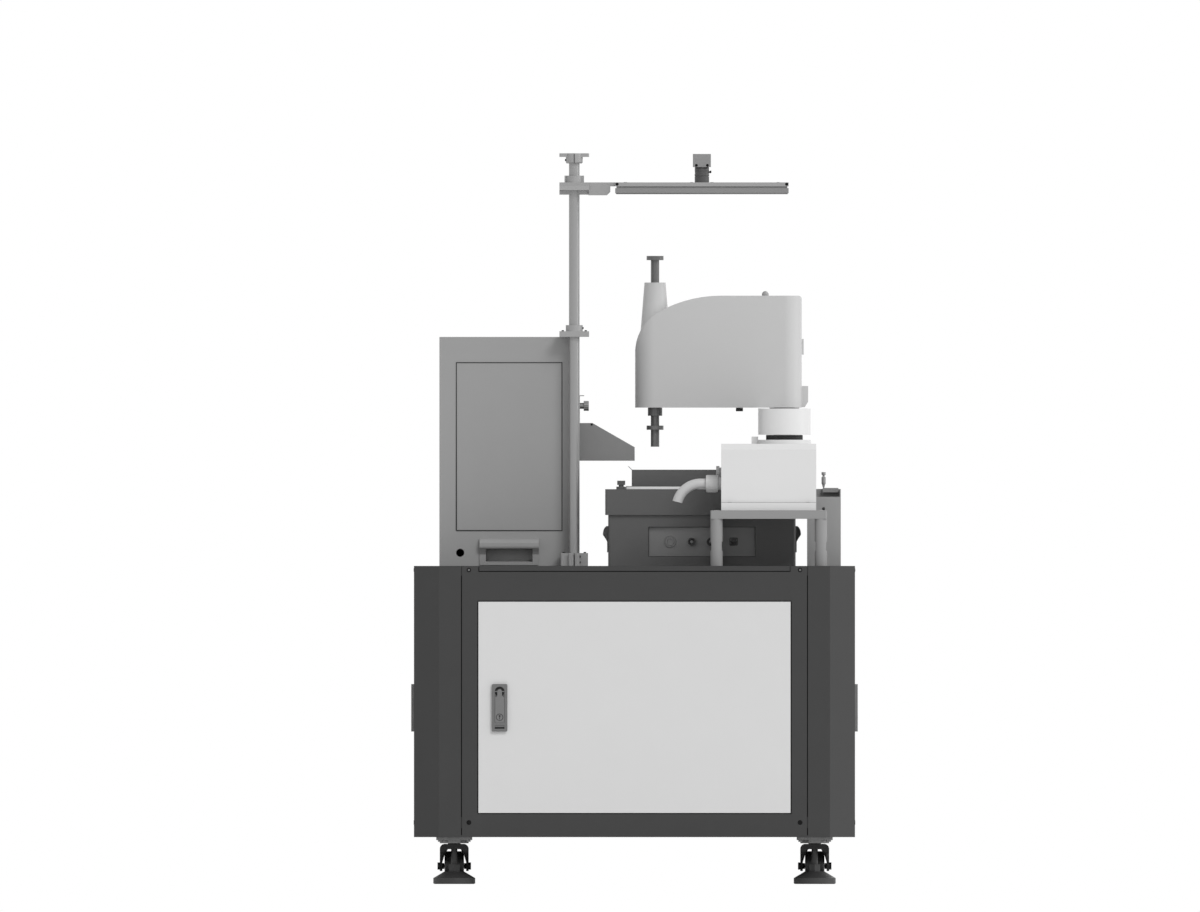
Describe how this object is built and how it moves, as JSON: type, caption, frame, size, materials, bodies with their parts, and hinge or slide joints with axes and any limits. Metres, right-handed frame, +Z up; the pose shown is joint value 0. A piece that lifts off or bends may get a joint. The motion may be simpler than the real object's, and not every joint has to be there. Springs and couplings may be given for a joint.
{
  "type": "key blank feeding and duplicating cell",
  "caption": "Mobile cabinet with a selective-compliance robot arm, blank hopper with vibrating chute, backlit feeder tray, mast camera and parts box.",
  "frame": {"origin": "on the floor under the middle of the cabinet", "axes": "+Z up, -Y towards the front door, +X to the right seen from the front"},
  "size_m": [1.053, 0.913, 1.723],
  "materials": {
    "cabinet_paint": "fine-textured dark grey powder coat",
    "black_screws": "blackened steel",
    "unit_case": "smooth grey enamel",
    "caster_zinc": "zinc plated pressed steel",
    "fork_paint": "black painted casting",
    "wheel_nylon": "moulded nylon",
    "foot_plastic": "moulded glass-filled nylon",
    "door_paint": "light grey powder coat",
    "lock_zinc": "grey coated zinc die casting",
    "lever_zinc": "satin plated zinc die casting",
    "cam_steel": "zinc plated steel bar",
    "stand_steel": "ground and nickel plated steel",
    "robot_casting": "white painted aluminium casting",
    "robot_cover": "white moulded cover",
    "elbow_plastic": "light grey nylon conduit",
    "button_plastic": "satin moulded button",
    "shaft_steel": "ground bearing steel",
    "feeder_paint": "dark grey anodised aluminium",
    "light_plate_acrylic": "opal acrylic",
    "tray_plastic": "dark grey formed sheet",
    "knob_aluminium": "dark anodised knurled aluminium",
    "handle_coat": "grey moulded nylon",
    "connector_plate": "dark anodised plate",
    "rocker_plastic": "black moulded rocker",
    "hopper_paint": "mid grey powder coat",
    "trough_steel": "bead-blasted stainless steel sheet",
    "drive_casting": "painted iron casting",
    "gate_steel": "brushed stainless steel sheet",
    "mast_steel": "drawn steel tube",
    "clamp_aluminium": "clear anodised aluminium",
    "diffuser_acrylic": "opal acrylic",
    "camera_aluminium": "anodised camera housing",
    "box_steel": "grey powder coat"
  },
  "bodies": {
    "cabinet": {"cabinet_frame": "cabinet_paint", "tabletop": "cabinet_paint", "front_fascia": "cabinet_paint", "side_fascias": "cabinet_paint", "rear_panel": "cabinet_paint", "fascia_screws": "black_screws", "control_units": "unit_case", "caster_mounts": "caster_zinc", "robot_stand": "stand_steel", "robot_base": "robot_casting", "cable_elbow": "elbow_plastic", "feeder_housing": "feeder_paint", "feeder_thumb_nuts": "knob_aluminium", "carry_handles": "handle_coat", "connector_panel": "connector_plate", "hopper_shell": "hopper_paint", "hopper_panel": "hopper_paint", "trough_drive": "drive_casting", "mast": "mast_steel", "mast_clamps": "clamp_aluminium", "parts_bin": "box_steel"},
    "door_front": {"door_front": "door_paint", "lock_front": "lock_zinc"},
    "lever_front": {"lever_front": "lever_zinc"},
    "cam_front": {"cam_front": "cam_steel"},
    "door_left": {"door_left": "door_paint", "lock_left": "lock_zinc"},
    "lever_left": {"lever_left": "lever_zinc"},
    "cam_left": {"cam_left": "cam_steel"},
    "door_right": {"door_right": "door_paint", "lock_right": "lock_zinc"},
    "lever_right": {"lever_right": "lever_zinc"},
    "cam_right": {"cam_right": "cam_steel"},
    "fork_fl": {"caster_fork_fl": "fork_paint"},
    "wheel_fl": {"caster_wheel_fl": "wheel_nylon"},
    "foot_fl": {"levelling_foot_fl": "foot_plastic"},
    "fork_fr": {"caster_fork_fr": "fork_paint"},
    "wheel_fr": {"caster_wheel_fr": "wheel_nylon"},
    "foot_fr": {"levelling_foot_fr": "foot_plastic"},
    "fork_rl": {"caster_fork_rl": "fork_paint"},
    "wheel_rl": {"caster_wheel_rl": "wheel_nylon"},
    "foot_rl": {"levelling_foot_rl": "foot_plastic"},
    "fork_rr": {"caster_fork_rr": "fork_paint"},
    "wheel_rr": {"caster_wheel_rr": "wheel_nylon"},
    "foot_rr": {"levelling_foot_rr": "foot_plastic"},
    "arm_1": {"arm_1": "robot_casting"},
    "arm_2": {"arm_2": "robot_casting", "arm_2_cover": "robot_cover"},
    "release_button": {"release_button": "button_plastic"},
    "spline_nut": {"spline_nut": "shaft_steel"},
    "quill": {"quill_shaft": "shaft_steel"},
    "tray": {"feeder_tray": "tray_plastic", "feeder_light_plate": "light_plate_acrylic"},
    "rocker": {"rocker_switch": "rocker_plastic"},
    "trough": {"feed_trough": "trough_steel"},
    "gate": {"chute_gate": "gate_steel"},
    "camera_arm": {"camera_arm": "clamp_aluminium", "light_frame": "clamp_aluminium", "light_diffuser": "diffuser_acrylic", "camera": "camera_aluminium"}
  },
  "joints": [
    {"name": "door_front_hinge", "type": "hinge", "parent": "cabinet", "child": "door_front", "pos_m": [0.348, -0.443, 0.4165], "axis": [0, 0, 1], "range_deg": [0, 110]},
    {"name": "lever_front_lift", "type": "hinge", "parent": "door_front", "child": "lever_front", "pos_m": [-0.318, -0.4543, 0.4539], "axis": [-1, 0, 0], "range_deg": [0, 65]},
    {"name": "cam_front_turn", "type": "hinge", "parent": "door_front", "child": "cam_front", "pos_m": [-0.318, -0.45, 0.4539], "axis": [0, 1, 0], "range_deg": [0, 90]},
    {"name": "door_left_hinge", "type": "hinge", "parent": "cabinet", "child": "door_left", "pos_m": [-0.513, -0.278, 0.4165], "axis": [0, 0, 1], "range_deg": [0, 110]},
    {"name": "lever_left_lift", "type": "hinge", "parent": "door_left", "child": "lever_left", "pos_m": [-0.5243, 0.248, 0.4539], "axis": [0, 1, 0], "range_deg": [0, 65]},
    {"name": "cam_left_turn", "type": "hinge", "parent": "door_left", "child": "cam_left", "pos_m": [-0.52, 0.248, 0.4539], "axis": [1, 0, 0], "range_deg": [0, 90]},
    {"name": "door_right_hinge", "type": "hinge", "parent": "cabinet", "child": "door_right", "pos_m": [0.513, 0.278, 0.4165], "axis": [0, 0, 1], "range_deg": [0, 110]},
    {"name": "lever_right_lift", "type": "hinge", "parent": "door_right", "child": "lever_right", "pos_m": [0.5243, -0.248, 0.4539], "axis": [0, -1, 0], "range_deg": [0, 65]},
    {"name": "cam_right_turn", "type": "hinge", "parent": "door_right", "child": "cam_right", "pos_m": [0.52, -0.248, 0.4539], "axis": [-1, 0, 0], "range_deg": [0, 90]},
    {"name": "caster_fl_swivel", "type": "hinge", "parent": "cabinet", "child": "fork_fl", "pos_m": [-0.425, -0.355, 0.09], "axis": [0, 0, 1], "continuous": true},
    {"name": "wheel_fl_spin", "type": "hinge", "parent": "fork_fl", "child": "wheel_fl", "pos_m": [-0.425, -0.273, 0.0424], "axis": [1, 0, 0], "continuous": true},
    {"name": "foot_fl_screw", "type": "slide", "parent": "fork_fl", "child": "foot_fl", "axis": [0, 0, 1], "range_m": [-0.005, 0.012]},
    {"name": "caster_fr_swivel", "type": "hinge", "parent": "cabinet", "child": "fork_fr", "pos_m": [0.425, -0.355, 0.09], "axis": [0, 0, 1], "continuous": true},
    {"name": "wheel_fr_spin", "type": "hinge", "parent": "fork_fr", "child": "wheel_fr", "pos_m": [0.425, -0.273, 0.0424], "axis": [1, 0, 0], "continuous": true},
    {"name": "foot_fr_screw", "type": "slide", "parent": "fork_fr", "child": "foot_fr", "axis": [0, 0, 1], "range_m": [-0.005, 0.012]},
    {"name": "caster_rl_swivel", "type": "hinge", "parent": "cabinet", "child": "fork_rl", "pos_m": [-0.425, 0.355, 0.09], "axis": [0, 0, 1], "continuous": true},
    {"name": "wheel_rl_spin", "type": "hinge", "parent": "fork_rl", "child": "wheel_rl", "pos_m": [-0.425, 0.273, 0.0424], "axis": [1, 0, 0], "continuous": true},
    {"name": "foot_rl_screw", "type": "slide", "parent": "fork_rl", "child": "foot_rl", "axis": [0, 0, 1], "range_m": [-0.005, 0.012]},
    {"name": "caster_rr_swivel", "type": "hinge", "parent": "cabinet", "child": "fork_rr", "pos_m": [0.425, 0.355, 0.09], "axis": [0, 0, 1], "continuous": true},
    {"name": "wheel_rr_spin", "type": "hinge", "parent": "fork_rr", "child": "wheel_rr", "pos_m": [0.425, 0.273, 0.0424], "axis": [1, 0, 0], "continuous": true},
    {"name": "foot_rr_screw", "type": "slide", "parent": "fork_rr", "child": "foot_rr", "axis": [0, 0, 1], "range_m": [-0.005, 0.012]},
    {"name": "axis_1", "type": "hinge", "parent": "cabinet", "child": "arm_1", "pos_m": [0.3535, -0.29, 1.089], "axis": [0, 0, 1], "range_deg": [-222, 20]},
    {"name": "axis_2", "type": "hinge", "parent": "arm_1", "child": "arm_2", "pos_m": [0.3535, 0.06, 1.123], "axis": [0, 0, 1], "range_deg": [-225, 45]},
    {"name": "axis_4", "type": "hinge", "parent": "arm_2", "child": "spline_nut", "pos_m": [0.0485, 0.06, 1.113], "axis": [0, 0, 1], "continuous": true},
    {"name": "axis_3", "type": "slide", "parent": "spline_nut", "child": "quill", "axis": [0, 0, 1], "range_m": [-0.052, 0.02]},
    {"name": "release_button_press", "type": "slide", "parent": "arm_2", "child": "release_button", "axis": [0, 0, 1], "range_m": [-0.0025, 0], "stiffness_N_per_m": 400, "springref_m": 0.001},
    {"name": "tray_shake", "type": "slide", "parent": "cabinet", "child": "tray", "axis": [0, 0, 1], "range_m": [0, 0.003]},
    {"name": "rocker_tilt", "type": "hinge", "parent": "cabinet", "child": "rocker", "pos_m": [0.234, -0.145, 0.807], "axis": [1, 0, 0], "range_deg": [0, 14]},
    {"name": "trough_shake", "type": "slide", "parent": "cabinet", "child": "trough", "axis": [1, 0, 0], "range_m": [-0.001, 0.001], "stiffness_N_per_m": 5000},
    {"name": "gate_lift", "type": "slide", "parent": "cabinet", "child": "gate", "axis": [0, 0, 1], "range_m": [0, 0.03]},
    {"name": "camera_arm_height", "type": "slide", "parent": "cabinet", "child": "camera_arm", "axis": [0, 0, 1], "range_m": [-0.12, 0.025]}
  ]
}
